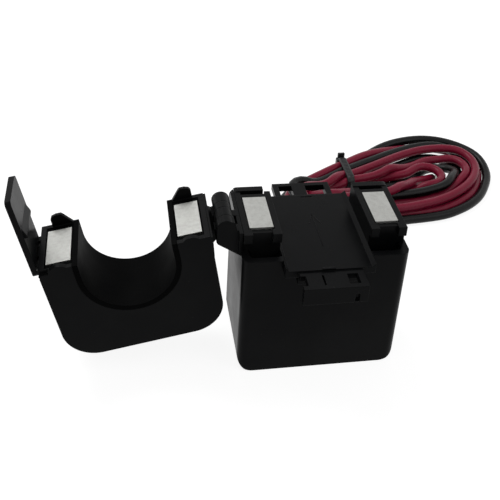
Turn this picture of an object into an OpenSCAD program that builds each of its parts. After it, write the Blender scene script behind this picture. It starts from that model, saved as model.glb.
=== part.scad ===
// Split-core current transformer: a case with the wound lower core, and a hinged
// cover with the upper core, lying open. Twin leads leave the back in a tied hank.
// Origin: middle of the case's base. X runs to the latch side, Y to the leads, Z up.

/* [Window] */
// Diameter of the round window for the conductor
window_d = 24; // [20:0.5:30]
// Depth of the window floor below the mating plane
floor_drop = 7; // [6.5:0.25:9]
// Width of the sloped strip along each side of the window floor
floor_slope = 1; // [0.5:0.25:1.5]
// Reach of the window floor from the middle, front and back
floor_reach = 17.2; // [16:0.2:19]
// Thickness of the window floor
floor_t = 2; // [1.5:0.25:2.5]

/* [Cores] */
// Width of a core leg
leg_w = 6.3; // [5:0.1:7]
// Depth of the core strip
leg_d = 14; // [12:0.5:15]
// Inner bend radius of the core
core_bend = 2.2; // [1.5:0.1:3]
// Height of the upper core
upper_core_h = 28; // [27:0.25:30]
// Air gap between the ground pole faces
pole_gap = 0.06; // [0.02:0.02:0.2]
// Play between a core and its mouldings
core_play = 0.4; // [0.3:0.05:0.6]

/* [Case] */
// Height of the mating plane above the base
mate_h = 44; // [42:0.5:52]
// Height that the towers stand above the case rim
tower_rise = 6; // [5:0.25:6.25]
// Wall of the case
wall = 2; // [1.5:0.25:2.5]
// Radius of the case's upright edges
edge_r = 2.5; // [2:0.25:3]
// Radius of the case's lower side edges
foot_r = 4.5; // [3:0.25:5]
// Depth of the resin's surface below the mating plane
resin_drop = 13; // [12.5:0.5:15]

/* [Towers] */
// Wall of a tower round its pole
tower_wall = 1.4; // [1:0.1:1.8]
// Depth of the tower frames below the pole faces
frame_drop = 0.25; // [0.1:0.05:0.5]
// Reach of the front ears past the front bar
ear_reach = 1.4; // [1:0.1:2]
// Height of the front ears
ear_h = 2.8; // [2:0.2:4]
// Width of the front ears
ear_w = 2.3; // [1.8:0.1:2.6]
// Thickness of the rear guard wall
guard_t = 2; // [1.5:0.1:2.4]
// Radius of the rear guard wall's outer corner
guard_r = 2.2; // [1:0.1:3]
// Width left open between the window and the guard wall on the hinge side
guard_gap = 1.8; // [0:0.1:2.5]

/* [Tie tongues] */
// Width of a tie tongue
tongue_w = 17; // [15:0.5:20]
// Length of a tie tongue past the window floor
tongue_l = 7; // [6:0.25:9]
// Thickness of a tie tongue
tongue_t = 1.8; // [1.5:0.1:2.2]
// Height of a tongue's end bar
bar_h = 5; // [4:0.25:6]
// Thickness of a tongue's end bar
bar_t = 1.5; // [1.2:0.1:2]
// Length of a tie slot
slot_l = 3.9; // [3.6:0.1:4.2]
// Width of the rear tongue's narrow slot
slot_w = 3.9; // [3:0.1:5]
// Width of the rear tongue's wide slot
wide_slot_w = 5.7; // [4:0.1:6.2]
// Width of the front tongue's slots
front_slot_w = 2.8; // [2:0.1:4]

/* [Coil] */
// Thickness of the winding
winding_t = 3.3; // [2.5:0.1:4]
// Wall of the bobbin tube
bobbin_wall = 0.8; // [0.6:0.1:1]
// Thickness of the bobbin flanges
flange_t = 1; // [0.8:0.1:1.4]
// Thickness of the tape round the winding
tape_t = 0.25; // [0.15:0.05:0.4]
// Play between the bobbin and the yoke
bobbin_play = 0.2; // [0.1:0.05:0.4]
// Play between the coil and the case
coil_play = 0.45; // [0.3:0.05:0.8]
// Diameter of the winding's two end wires
tail_d = 0.8; // [0.5:0.1:1]

/* [Cover] */
// Depth of the cover
cover_d = 20; // [19.5:0.25:21]
// Wall of the cover's far end and sides
cover_wall = 1.5; // [1.2:0.1:2]
// Wall of the cover's front and back
cover_face = 1.4; // [1:0.1:1.6]
// Outer radius of the cover's far corners
cover_r = 9; // [8:0.25:10]
// Draft of each cover side over its height
cover_draft = 0.7; // [0:0.1:1]
// Wall of the channel round the window
channel_wall = 1.4; // [1:0.1:1.8]
// Straight height of the channel before its half round
channel_rise = 4.8; // [4:0.2:6]
// Thickness of the foam pad behind the upper core
pad_t = 0.9; // [0.6:0.1:1.5]
// Height of the locating fins
fin_h = 3.3; // [2:0.1:3.5]
// Thickness of the locating fins
fin_t = 1; // [0.8:0.1:1.2]

/* [Hinge] */
// Radius of the hinge barrel
barrel_r = 2.4; // [2.2:0.1:2.8]
// Diameter of the hinge pin
hinge_pin_d = 1.6; // [1.2:0.1:2]
// Distance from the case's side to the hinge axis
hinge_out = 3.8; // [3.7:0.1:4.5]
// Height of the hinge axis above the mating plane
hinge_up = 0.5; // [0.4:0.1:1]
// Opening angle of the cover
open_angle = 191.5; // [170:0.5:193]
// Gap between two hinge knuckles
knuckle_gap = 0.15; // [0.1:0.05:0.25]
// Height of the cover's hinge leaf along its wall
leaf_h = 6.5; // [5:0.25:8]
// Thickness of the case's raised wall outside the hinge tower
hinge_wall_t = 0.5; // [0.4:0.1:1]

/* [Latch] */
// Width of the latch plate
latch_w = 13; // [11:0.5:15]
// Thickness of the latch plate
latch_t = 1.5; // [1.2:0.1:1.8]
// Reach of the latch plate below the mating plane
latch_reach = 20; // [17:0.5:22]
// Reach of the latch tail above the mating plane
latch_tail = 3.8; // [3.4:0.1:4.2]
// Height of the hook on the latch plate
hook_h = 0.7; // [0.5:0.05:0.8]
// Depth of the hook's holding face below the mating plane
hook_drop = 8.3; // [8:0.1:9]
// Diameter of the latch pin
latch_pin_d = 1; // [0.8:0.1:1.2]
// Radius of the latch knuckles
latch_r = 1.15; // [1.05:0.05:1.2]
// Height of the latch axis above the mating plane
latch_up = 1.7; // [1.6:0.05:2]
// Angle at which the free latch stands off from its latched place
latch_ajar = 1; // [0.5:0.25:3]

/* [Leads] */
// Diameter of a lead
lead_d = 3.4; // [2.8:0.1:3.4]
// Distance between the middles of the two leads at the back wall
lead_pitch = 5.2; // [5:0.2:7]
// Height of the lead outlets above the base
outlet_h = 25; // [24:0.5:26]
// Length of the collar round each lead outlet
collar_l = 0.8; // [0.4:0.1:1.5]
// Wall of the collar round each lead outlet
collar_wall = 0.7; // [0.5:0.1:0.8]
// Length of a splice sleeve
sleeve_l = 12; // [10:0.5:13]
// Wall of a splice sleeve
sleeve_wall = 0.4; // [0.3:0.1:0.6]
// Height of the tied hank
hank_h = 9.2; // [9:0.2:12]
// Width of the cable tie's strap
tie_w = 2.6; // [2.2:0.1:4.8]
// Length of the cable tie's lock head
head_l = 4; // [3:0.2:6]
// Height of the cable tie's lock head
head_h = 2.4; // [2:0.1:4]
// Thickness of the cable tie's strap
tie_t = 1.2; // [1:0.1:1.4]

/* [Hidden] */
$fn = 64;

// Clearances: flat faces that meet, and cuts that run past a face
seat = 0.05;
fit = 0.2;
over = 1;
pin_play = 0.05;

// Widths, from the window outwards
leg_in = window_d / 2 + channel_wall + core_play;
leg_out = leg_in + leg_w;
inner_w = 2 * (leg_out + core_play);
case_w = inner_w + 2 * wall;
tower_x = case_w / 2 - 0.6;

// Depths, from the core outwards
coil_build = bobbin_play + bobbin_wall + winding_t + tape_t;
inner_d = leg_d + 2 * (coil_build + coil_play);
case_d = inner_d + 2 * wall;
frame_y = leg_d / 2 + core_play / 2;
bar_y = frame_y + tower_wall;
fin_y = cover_d / 2 - fin_t;
guard_y = cover_d / 2 + fit;
tower_back = guard_y + guard_t;

// Place along Y where the leads meet the winding's ends, and heights
splice_y = 4;
rim_z = mate_h - tower_rise;
floor_z = mate_h - floor_drop;
frame_z = mate_h - frame_drop;
yoke_z = wall + coil_play + tape_t + winding_t + bobbin_wall + bobbin_play;
yoke_mid = yoke_z + leg_w / 2;
resin_z = mate_h - resin_drop;
skirt_z = resin_z + 1;
cover_h = upper_core_h + pad_t + cover_wall;

// Hinge and latch
hinge_x = -case_w / 2 - hinge_out;
hinge_z = mate_h + hinge_up;
hinge_wall_x = -case_w / 2 - hinge_wall_t;
cover_x = case_w / 2 - 0.5;
hinge_front = -7.6;
hinge_back = 6.3;
body_knuckles = [[hinge_front, -4.7], [-1, 1.6]];
cover_knuckles = [[-4.7, -1], [1.6, hinge_back]];
lug_z = rim_z + 1.6;
leaf_x = hinge_x + barrel_r + 0.35;
rail_t = 0.6;
latch_face = case_w / 2 + fit;
latch_x = cover_x + 0.4;
latch_z = mate_h + latch_up;
lug_w = 4.4;
knuckle_w = 2;

// Route of each lead, from its splice to where it joins the hank
red_route = [[-2.6, 4, 25], [-2.6, 10, 25], [-2.6, 16, 25], [-2.6, 22, 24.3], [-2.3, 28, 21.5],
    [-1.4, 33, 16.6], [0.4, 37.5, 11], [3.2, 41.6, 6.2], [7.6, 45.2, 3], [13, 47.4, 1.8],
    [19, 48.4, 1.8]];
black_route = [[2.6, 4, 25], [2.6, 10, 25], [2.6, 16, 25], [2.7, 21.5, 24], [3.3, 26.8, 20.6],
    [4.8, 31.2, 15.4], [7.4, 35.2, 9.8], [11, 38.9, 5.2], [15.6, 42.2, 2.5], [21, 45, 1.8],
    [27, 46.8, 1.8]];

// Outline of the hank: left bend, tied run and wide right bend, as middle and radius
hank_left = [3, 59];
hank_left_r = 14;
hank_mid = [30.5, 64.5];
hank_mid_r = 19.5;
hank_right = [63, 75];
hank_right_r = 28;
tie_x = 30.5;
tie_y = [67, 84];

plastic = [0.1, 0.1, 0.11];
steel = [0.74, 0.74, 0.75];

// ---- shared shapes ----

// Rectangle with four round corners, centred
module rounded_rect(w, h, r) {
    square([w - 2 * r, h], center = true);
    square([w, h - 2 * r], center = true);
    for (sx = [-1, 1], sy = [-1, 1])
        translate([sx * (w / 2 - r), sy * (h / 2 - r)]) circle(r);
}

// Upright rectangle on the axis, with its two upper corners round
module arch(w, h, r) {
    translate([-w / 2, 0]) square([w, h - r]);
    translate([-w / 2 + r, 0]) square([w - 2 * r, h]);
    for (s = [-1, 1]) translate([s * (w / 2 - r), h - r]) circle(r);
}

// Extrudes an outline drawn in X and Z along Y, from y0 to y1
module along_y(y0, y1) {
    translate([0, y1, 0]) rotate([90, 0, 0]) linear_extrude(y1 - y0) children();
}

// A round bar along Y
module y_rod(x, y0, y1, z, r) {
    translate([x, y0, z]) rotate([-90, 0, 0]) cylinder(h = y1 - y0, r = r);
}

// A block between two corners
module block(x0, x1, y0, y1, z0, z1) {
    translate([x0, y0, z0]) cube([x1 - x0, y1 - y0, z1 - z0]);
}

// Both sides of the window
module both_sides() {
    children();
    mirror([1, 0, 0]) children();
}

// Turns the closed cover about the hinge to where it lies open
module opened() {
    translate([hinge_x, 0, hinge_z]) rotate([0, -open_angle, 0])
        translate([-hinge_x, 0, -hinge_z]) children();
}

// Turns the latched latch about its pin to where it stands free
module ajar() {
    translate([latch_x, 0, latch_z]) rotate([0, -latch_ajar, 0])
        translate([-latch_x, 0, -latch_z]) children();
}

// The case's outer or inner form: upright edges and lower side edges rounded
module case_solid(w, d, h, r, foot) {
    intersection() {
        linear_extrude(h) rounded_rect(w, d, r);
        along_y(-d / 2 - over, d / 2 + over)
            translate([0, h]) mirror([0, 1]) arch(w, h, foot);
    }
}

// One half of the cut strip core, poles at z = 0 and yoke at height h
module core_outline(h) {
    difference() {
        arch(2 * leg_out, h, core_bend + leg_w);
        translate([0, -over]) arch(2 * leg_in, h - leg_w + over, core_bend);
    }
}

// ---- case and what it carries ----

// Web under the case's front knuckle, flush with the barrel's outer side
module front_web() {
    polygon([[hinge_x - barrel_r, hinge_z], [hinge_x - barrel_r, lug_z + 0.6],
        [hinge_x - 0.85 * barrel_r, lug_z], [-case_w / 2 + 0.5, rim_z - 2.6],
        [-case_w / 2 + 0.5, frame_z], [hinge_x + barrel_r + 0.5, frame_z],
        [hinge_x + 0.9 * barrel_r, hinge_z + 0.7 * barrel_r],
        [hinge_x + 0.3 * barrel_r, hinge_z + 0.85 * barrel_r]]);
}

// Web under the case's middle knuckle, clear of the opened cover's leaf
module middle_web() {
    polygon([[hinge_x - 0.5 * barrel_r, hinge_z - 0.8 * barrel_r],
        [-case_w / 2 + 0.5, rim_z - 2.6], [-case_w / 2 + 0.5, frame_z],
        [hinge_x + 0.5 * barrel_r, hinge_z - 0.2 * barrel_r]]);
}

// Raised wall of the case along the hinge tower
module hinge_wall() {
    polygon([[hinge_wall_x, rim_z - 0.5], [-case_w / 2 + 0.5, rim_z - 2.6],
        [-case_w / 2 + 0.5, frame_z], [hinge_wall_x, frame_z]]);
}

module outlet_bores(r) {
    for (s = [-1, 1])
        y_rod(s * lead_pitch / 2, 0, case_d, outlet_h, r);
}

module body_case() {
    pocket_z = mate_h - hook_drop + 0.1;
    color(plastic) difference() {
        union() {
            case_solid(case_w, case_d, rim_z, edge_r, foot_r);
            along_y(-bar_y - 0.4, guard_y) hinge_wall();
            along_y(guard_y - over, tower_back) intersection() {
                hinge_wall();
                mirror([1, 0]) shoulder(frame_z);
            }
            for (k = body_knuckles)
                y_rod(hinge_x, k[0], k[1], hinge_z, barrel_r);
            along_y(body_knuckles[0][0], body_knuckles[0][1]) front_web();
            along_y(body_knuckles[1][0], body_knuckles[1][1]) middle_web();
            for (s = [-1, 1])
                y_rod(s * lead_pitch / 2, case_d / 2 - over, case_d / 2 + collar_l, outlet_h,
                    lead_d / 2 + collar_wall);
        }
        translate([0, 0, wall])
            case_solid(inner_w, inner_d, mate_h, edge_r - wall + 1, foot_r - wall + 0.5);
        block(-window_d / 2 - seat, window_d / 2 + seat, -case_d, case_d,
            floor_z - floor_t - seat, mate_h + over);
        block(-leg_in, leg_in, 0, tower_back + seat, floor_z - floor_t - seat, mate_h);
        block(-tower_x - seat, 0, -case_d, case_d, rim_z, mate_h + over);
        y_rod(hinge_x, hinge_front + over, case_d, hinge_z, hinge_pin_d / 2 + pin_play);
        block(latch_face - fit - hook_h, case_w / 2 + over, -latch_w / 2, latch_w / 2,
            pocket_z - 4.2, pocket_z);
        intersection() {
            outlet_bores(lead_d / 2 + 0.1);
            block(-case_w, case_w, inner_d / 2 - over, case_d, 0, mate_h);
        }
    }
}

// Half outline of the case's back up to a height, its outer upper corner round
module shoulder(top) {
    x = case_w / 2 + hinge_wall_t;
    square([x - guard_r, top]);
    square([x, top - guard_r]);
    translate([x - guard_r, top - guard_r]) circle(guard_r);
}

module guard_wall(inner_x) {
    along_y(guard_y, tower_back) intersection() {
        translate([inner_x, rim_z]) square([tower_x - inner_x, tower_rise]);
        shoulder(mate_h);
    }
}

module tower() {
    mid_y = -bar_y;
    tower_top = frame_z;
    inner_x = window_d / 2;
    // window side wall and outer wall, the outer one standing on the rim
    block(inner_x, leg_in - core_play / 2, mid_y, tower_back, floor_z - floor_t, tower_top);
    block(leg_out + core_play / 2, tower_x, mid_y, tower_back, rim_z, tower_top);
    // front bar with its two ears, and the frame behind the pole
    block(inner_x, tower_x, mid_y, -frame_y, rim_z, tower_top - 0.4);
    for (x = [inner_x, tower_x - ear_w])
        block(x, x + ear_w, mid_y - ear_reach, mid_y + over, frame_z - ear_h, tower_top);
    block(inner_x, tower_x, frame_y, fin_y - fit, rim_z, tower_top);
    // floor of the fin slot, between the frame and the rear guard wall
    block(inner_x, tower_x, fin_y - fit - over, tower_back, rim_z,
        mate_h - fin_h - 0.4);
    // skirt round the leg inside the case
    for (y = [-bar_y, frame_y])
        block(inner_x, leg_out, y, y + tower_wall, skirt_z, rim_z + over);
    block(inner_x, leg_in - core_play / 2, -bar_y, bar_y, skirt_z, rim_z);
}

module tie_tongue(end_h) {
    top = floor_z - 0.4;
    end = floor_reach + tongue_l;
    block(-tongue_w / 2, tongue_w / 2, floor_reach - over, end, top - tongue_t, top);
    block(-tongue_w / 2, tongue_w / 2, end - bar_t, end, top - end_h, top);
    block(-tongue_w / 2, tongue_w / 2, case_d / 2 + fit, floor_reach, top - bar_h + over,
        floor_z - over);
}

// Cuts through the front tongue: open slot, closed slot, slit and notch in the end bar
module front_cuts(slot_y, end) {
    open_x = -tongue_w / 2 + front_slot_w / 2;
    slot_x = 3.8;
    slit_x = -2.9;
    slit_w = 0.5;
    notch = [5, 1.2, 2.4];
    block(-tongue_w / 2 - over, open_x, -slot_y - slot_l, -slot_y, 0, floor_z);
    block(slot_x, slot_x + front_slot_w, -slot_y - slot_l, -slot_y, 0, floor_z);
    block(slit_x, slit_x + slit_w, -slot_y - slot_l, -slot_y, floor_z - 0.8 * tongue_t,
        floor_z);
    block(notch[0], notch[0] + notch[1], -end - over, -end + bar_t / 2, floor_z - bar_h,
        floor_z - bar_h + notch[2]);
}

module core_carrier() {
    end = floor_reach + tongue_l;
    slot_y = end - bar_t - slot_l;
    half = window_d / 2;
    lip = [-2.4, 1.2, 0.7, 0.25];
    slit = [-1.6, 2, 1.3, 0.4, 0.6];
    slot_x = -6.8;
    wide_slot_x = 1.1;
    color(plastic) difference() {
        union() {
            block(-half, half, -floor_reach, floor_reach, floor_z - floor_t, floor_z);
            both_sides() {
                along_y(-floor_reach, floor_reach)
                    polygon([[half - floor_slope, floor_z - 0.5], [half - floor_slope, floor_z],
                        [half, floor_z + floor_slope], [half, floor_z - 0.5]]);
                tower();
            }
            guard_wall(half);
            mirror([1, 0, 0]) guard_wall(half + guard_gap);
            mirror([0, 1, 0]) tie_tongue(bar_h);
            tie_tongue(tongue_t);
            // small lip at the front of the window floor
            block(lip[0], lip[1], -floor_reach, -floor_reach + lip[2], floor_z - lip[3],
                floor_z + lip[3]);
        }
        front_cuts(slot_y, end);
        // opening beside the guard wall on the hinge side
        block(-half - guard_gap, -half + over, guard_y - fit, tower_back + over,
            mate_h - fin_h - 0.4, mate_h + over);
        // slit near the rear edge of the window floor
        block(slit[0], slit[1], floor_reach - slit[2], floor_reach - slit[2] + slit[3],
            floor_z - slit[4], floor_z + over);
        // rear tongue: two closed slots, a little longer than the front ones
        block(slot_x, slot_x + slot_w, slot_y - over + fit, slot_y + slot_l, 0, floor_z);
        block(wide_slot_x, wide_slot_x + wide_slot_w, slot_y - over + fit, slot_y + slot_l, 0,
            floor_z);
    }
}

module lower_core() {
    height = mate_h - pole_gap / 2 - yoke_z;
    color(steel) translate([0, 0, yoke_z + height]) mirror([0, 0, 1])
        along_y(-leg_d / 2, leg_d / 2) core_outline(height);
}

// Half widths of the coil's layers about the yoke's middle line
function coil_y(grow) = leg_d / 2 + bobbin_play + grow;
function coil_z(grow) = leg_w / 2 + bobbin_play + grow;

// A ring of one coil layer along the yoke
module coil_layer(grow_in, grow_out, half_l, r) {
    translate([-half_l, 0, yoke_mid]) rotate([90, 0, 90]) linear_extrude(2 * half_l)
        difference() {
            rounded_rect(2 * coil_y(grow_out), 2 * coil_z(grow_out), r);
            square([2 * coil_y(grow_in), 2 * coil_z(grow_in)], center = true);
        }
}

flange_x = leg_in - core_bend;
flange_grow = bobbin_wall + winding_t + tape_t;

module bobbin() {
    coil_layer(0, bobbin_wall, flange_x - flange_t / 2, 0.3);
    both_sides() translate([flange_x - flange_t, 0, yoke_mid]) rotate([90, 0, 90])
        linear_extrude(flange_t) difference() {
            square([2 * coil_y(flange_grow), 2 * coil_z(flange_grow)], center = true);
            square([2 * coil_y(0), 2 * coil_z(0)], center = true);
        }
}

module bobbin_front() {
    color([0.85, 0.83, 0.76]) intersection() {
        bobbin();
        block(-case_w, case_w, -case_d, 0, 0, mate_h);
    }
}

module bobbin_rear() {
    color([0.85, 0.83, 0.76]) intersection() {
        bobbin();
        block(-case_w, case_w, 0, case_d, 0, mate_h);
    }
}

winding_half = flange_x - flange_t;

module secondary_winding() {
    color([0.72, 0.36, 0.16]) difference() {
        translate([-winding_half, 0, yoke_mid]) rotate([90, 0, 90])
            linear_extrude(2 * winding_half)
            rounded_rect(2 * coil_y(bobbin_wall + winding_t), 2 * coil_z(bobbin_wall + winding_t),
                winding_t);
        coil_core_hole(bobbin_wall);
    }
}

module coil_core_hole(grow) {
    block(-case_w, case_w, -coil_y(grow), coil_y(grow), yoke_mid - coil_z(grow),
        yoke_mid + coil_z(grow));
}

// Outer envelope of the taped winding
module taped_winding() {
    grow = bobbin_wall + winding_t + tape_t;
    translate([-winding_half, 0, yoke_mid]) rotate([90, 0, 90])
        linear_extrude(2 * winding_half)
        rounded_rect(2 * coil_y(grow), 2 * coil_z(grow), winding_t + tape_t);
}

module winding_tape() {
    grow = bobbin_wall + winding_t;
    color([0.9, 0.72, 0.2]) difference() {
        taped_winding();
        translate([-case_w, 0, yoke_mid]) rotate([90, 0, 90]) linear_extrude(2 * case_w)
            rounded_rect(2 * coil_y(grow), 2 * coil_z(grow), winding_t);
        for (s = [-1, 1]) tail_hole(s);
    }
}

tail_y = splice_y - sleeve_l - tail_d;
tail_z = yoke_mid + coil_z(bobbin_wall + winding_t);

module tail_hole(s) {
    translate([s * lead_pitch / 2, tail_y, tail_z]) cylinder(h = 2 * over, d = tail_d);
}

// Enamelled wire ends that rise from the winding and turn into the sleeves
module winding_tails() {
    color([0.72, 0.36, 0.16]) for (s = [-1, 1]) {
        translate([s * lead_pitch / 2, tail_y, tail_z])
            cylinder(h = outlet_h - tail_z, d = tail_d);
        translate([s * lead_pitch / 2, tail_y, outlet_h]) sphere(d = tail_d);
        y_rod(s * lead_pitch / 2, tail_y, splice_y - sleeve_l, outlet_h, tail_d / 2);
    }
}

module splice(s) {
    y_rod(s * lead_pitch / 2, splice_y - sleeve_l, splice_y, outlet_h,
        lead_d / 2 + sleeve_wall);
}

module red_splice() {
    color([0.6, 0.1, 0.16]) splice(-1);
}

module black_splice() {
    color([0.08, 0.08, 0.08]) splice(1);
}

// Resin that fills the case round the core, the coil and the splices
module potting() {
    color([0.05, 0.05, 0.05]) difference() {
        intersection() {
            translate([0, 0, wall])
                case_solid(inner_w, inner_d, mate_h, edge_r - wall + 1, foot_r - wall + 0.5);
            block(-case_w, case_w, -case_d, case_d, wall, resin_z);
        }
        translate([0, 0, mate_h]) mirror([0, 0, 1])
            along_y(-leg_d / 2, leg_d / 2) core_outline(mate_h - yoke_z);
        coil_core_hole(0);
        taped_winding();
        for (s = [-1, 1]) {
            translate([s * (flange_x - flange_t / 2), 0, yoke_mid])
                cube([flange_t, 2 * coil_y(flange_grow), 2 * coil_z(flange_grow)], center = true);
            splice(s);
            y_rod(s * lead_pitch / 2, 0, case_d, outlet_h, lead_d / 2 + 0.1);
            tail_hole(s);
            translate([s * lead_pitch / 2, tail_y, tail_z])
                cylinder(h = outlet_h - tail_z, d = tail_d);
            translate([s * lead_pitch / 2, tail_y, outlet_h]) sphere(d = tail_d);
            y_rod(s * lead_pitch / 2, tail_y, 0, outlet_h, tail_d / 2);
        }
    }
}

// ---- cover and what it carries, drawn closed ----

module cover_outline() {
    intersection() {
        arch(2 * (cover_x - cover_draft * (1 - cover_r / cover_h)) + 0.01, cover_h, cover_r);
        square([case_w, 2 * cover_h], center = true);
    }
    difference() {
        polygon([[-cover_x, 0], [cover_x, 0], [cover_x - cover_draft, cover_h],
            [-cover_x + cover_draft, cover_h]]);
        translate([-case_w, cover_h - cover_r]) square([2 * case_w, cover_h]);
    }
}

// Channel outline grown outwards by a wall
module channel_outline(grow) {
    r = window_d / 2 + grow;
    translate([0, channel_rise]) circle(r);
    translate([-r, -over]) square([2 * r, channel_rise + over]);
}

// Locating fin behind a pole, its free corners sloped
module fin() {
    x = leg_in - core_play;
    w = 5.6;
    slope = 2.1;
    polygon([[x, over], [x, 0], [x + slope, -fin_h + 0.5], [x + slope + 0.5, -fin_h],
        [x + w - 1.6, -fin_h], [x + w - 0.4, -fin_h + 0.4], [x + w, -fin_h + 1.1],
        [x + w, over]]);
}

// Arm from a cover knuckle to the leaf
module hinge_arm() {
    polygon([[hinge_x, hinge_z + 0.4 * barrel_r], [leaf_x + over, hinge_z + 0.9 * barrel_r],
        [leaf_x + over, mate_h + leaf_h - 1.2], [hinge_x - 0.2 * barrel_r, hinge_z + barrel_r - 0.05]]);
}

// Thicker rim of the cover's wall along the hinge
module hinge_rail() {
    polygon([[-cover_x - rail_t, mate_h + 0.4], [-cover_x + 0.5, mate_h + 0.4],
        [-cover_x + 0.5, mate_h + leaf_h + 0.5], [-cover_x, mate_h + leaf_h]]);
}

// Leaf on the cover's wall that carries both arms
module hinge_leaf() {
    polygon([[leaf_x, hinge_z + 0.85 * barrel_r], [-cover_x + 0.5, mate_h + over],
        [-cover_x + 0.5, mate_h + leaf_h + 0.5], [leaf_x, mate_h + leaf_h - 1.4]]);
}

module cover_shell() {
    half_d = cover_d / 2;
    core_x = leg_out + core_play;
    color(plastic) opened() difference() {
        union() {
            translate([0, 0, mate_h]) {
                difference() {
                    along_y(-half_d, half_d) translate([0, seat]) cover_outline();
                    along_y(-half_d + cover_face, half_d - cover_face)
                        translate([0, -over]) arch(2 * (leg_out + core_play / 2),
                            cover_h - cover_wall + over, cover_r - cover_wall);
                    along_y(-half_d + cover_face, half_d - cover_face)
                        translate([0, -over]) square([2 * core_x, 6], center = true);
                    along_y(-cover_d, cover_d) channel_outline(channel_wall + seat);
                }
                // locating fins behind the poles and low waves in front of them
                both_sides() {
                    along_y(fin_y, half_d) fin();
                    intersection() {
                        y_rod(leg_in + leg_w / 2, -half_d, -half_d + cover_face, 2.2, 3);
                        block(0, case_w, -cover_d, cover_d, -over, over);
                    }
                }
            }
            along_y(-half_d, half_d) hinge_rail();
            along_y(cover_knuckles[0][0] + knuckle_gap, hinge_back - knuckle_gap) hinge_leaf();
            for (k = cover_knuckles) {
                y_rod(hinge_x, k[0] + knuckle_gap, k[1] - knuckle_gap, hinge_z, barrel_r);
                along_y(k[0] + knuckle_gap, k[1] - knuckle_gap) hinge_arm();
            }
            // lug between the two knuckles of the latch
            y_rod(latch_x, -lug_w / 2, lug_w / 2, latch_z, latch_r);
            block(cover_x - over, latch_x, -lug_w / 2, lug_w / 2, latch_z - latch_r,
                latch_z + latch_r);
        }
        y_rod(hinge_x, -case_d, case_d, hinge_z, hinge_pin_d / 2 + pin_play);
        y_rod(latch_x, -cover_d, cover_d, latch_z, latch_pin_d / 2 + pin_play);
        for (s = [-1, 1]) {
            mid = s * (latch_w / 2 - knuckle_w / 2);
            y_rod(latch_x, mid - knuckle_w / 2 - fit, mid + knuckle_w / 2 + fit, latch_z,
                latch_r + fit);
        }
        // notch at the front corner beside the latch
        block(cover_x - 2.6, case_w, -cover_d, -half_d + 1.1, 0, mate_h + 1.1);
    }
}

module cover_saddle() {
    half_d = cover_d / 2;
    flange_y = half_d - cover_face - seat;
    color(plastic) opened() translate([0, 0, mate_h + seat]) {
        difference() {
            union() {
                along_y(-half_d, half_d) channel_outline(channel_wall);
                // flange round each leg, just under the pole faces
                both_sides() block(window_d / 2, leg_out + core_play - seat, -flange_y,
                    flange_y, frame_drop, frame_drop + 1.6);
                // ribs that carry the yoke
                for (s = [-1, 1])
                    block(s * 5 - 0.7, s * 5 + 0.7, -leg_d / 2, leg_d / 2, channel_rise + 11,
                        upper_core_h - leg_w - seat);
            }
            along_y(-cover_d, cover_d) channel_outline(0);
            both_sides() block(leg_in - core_play / 2, leg_out + core_play / 2, -frame_y, frame_y,
                -over, 3);
            block(-case_w, case_w, -cover_d, cover_d, -window_d, 0);
        }
    }
}

module upper_core() {
    color(steel) opened() translate([0, 0, mate_h + pole_gap / 2])
        along_y(-leg_d / 2, leg_d / 2) core_outline(upper_core_h);
}

module core_pad() {
    color([0.3, 0.3, 0.32]) opened() translate([0, 0, mate_h + pole_gap / 2 + upper_core_h])
        block(-leg_in + 2, leg_in - 2, -leg_d / 2 + 1, leg_d / 2 - 1, 0, pad_t - pole_gap / 2);
}

module latch() {
    top = mate_h + latch_tail;
    foot = mate_h - latch_reach;
    hook_z = mate_h - hook_drop;
    color(plastic) opened() ajar() difference() {
        union() {
            intersection() {
                block(latch_face, latch_face + latch_t, -latch_w, latch_w, foot, top);
                translate([0, 0, (top + foot) / 2]) rotate([0, 90, 0]) linear_extrude(case_w)
                    rounded_rect(top - foot, latch_w, 1.3);
            }
            // hook with its lead-in slope
            along_y(-latch_w / 2 + 0.8, latch_w / 2 - 0.8)
                polygon([[latch_face + over / 2, hook_z], [latch_face - hook_h, hook_z],
                    [latch_face - hook_h, hook_z - 0.6], [latch_face, hook_z - 3],
                    [latch_face + over / 2, hook_z - 3]]);
            for (s = [-1, 1]) {
                mid = s * (latch_w / 2 - knuckle_w / 2);
                y_rod(latch_x, mid - knuckle_w / 2, mid + knuckle_w / 2, latch_z, latch_r);
                block(latch_x, latch_face + over / 2, mid - knuckle_w / 2, mid + knuckle_w / 2,
                    latch_z - latch_r, latch_z + latch_r);
            }
        }
        y_rod(latch_x, -cover_d, cover_d, latch_z, latch_pin_d / 2 + pin_play);
        y_rod(latch_x, -lug_w / 2 - fit, lug_w / 2 + fit, latch_z, latch_r + fit);
    }
}

module latch_pin() {
    color(steel) opened()
        y_rod(latch_x, -latch_w / 2 + 0.2, latch_w / 2 - 0.2, latch_z, latch_pin_d / 2);
}

module hinge_pin() {
    color(steel)
        y_rod(hinge_x, hinge_front + over + fit, hinge_back - 2 * fit, hinge_z, hinge_pin_d / 2);
}

// ---- leads ----

function unit(v) = v / norm(v);
function heading(route, i) =
    unit(route[min(i + 1, len(route) - 1)] - route[max(i - 1, 0)]);
function side_of(t) = unit(cross(t, abs(t[2]) > 0.9 ? [1, 0, 0] : [0, 0, 1]));

// Ring of points round point i of a route, square to its heading
function ring(route, i, r, sides) =
    let (t = heading(route, i), u = side_of(t), v = cross(t, u))
    [for (k = [0:sides - 1])
        route[i] + r * (cos(360 * (k + 0.5) / sides) * u + sin(360 * (k + 0.5) / sides) * v)];

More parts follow.
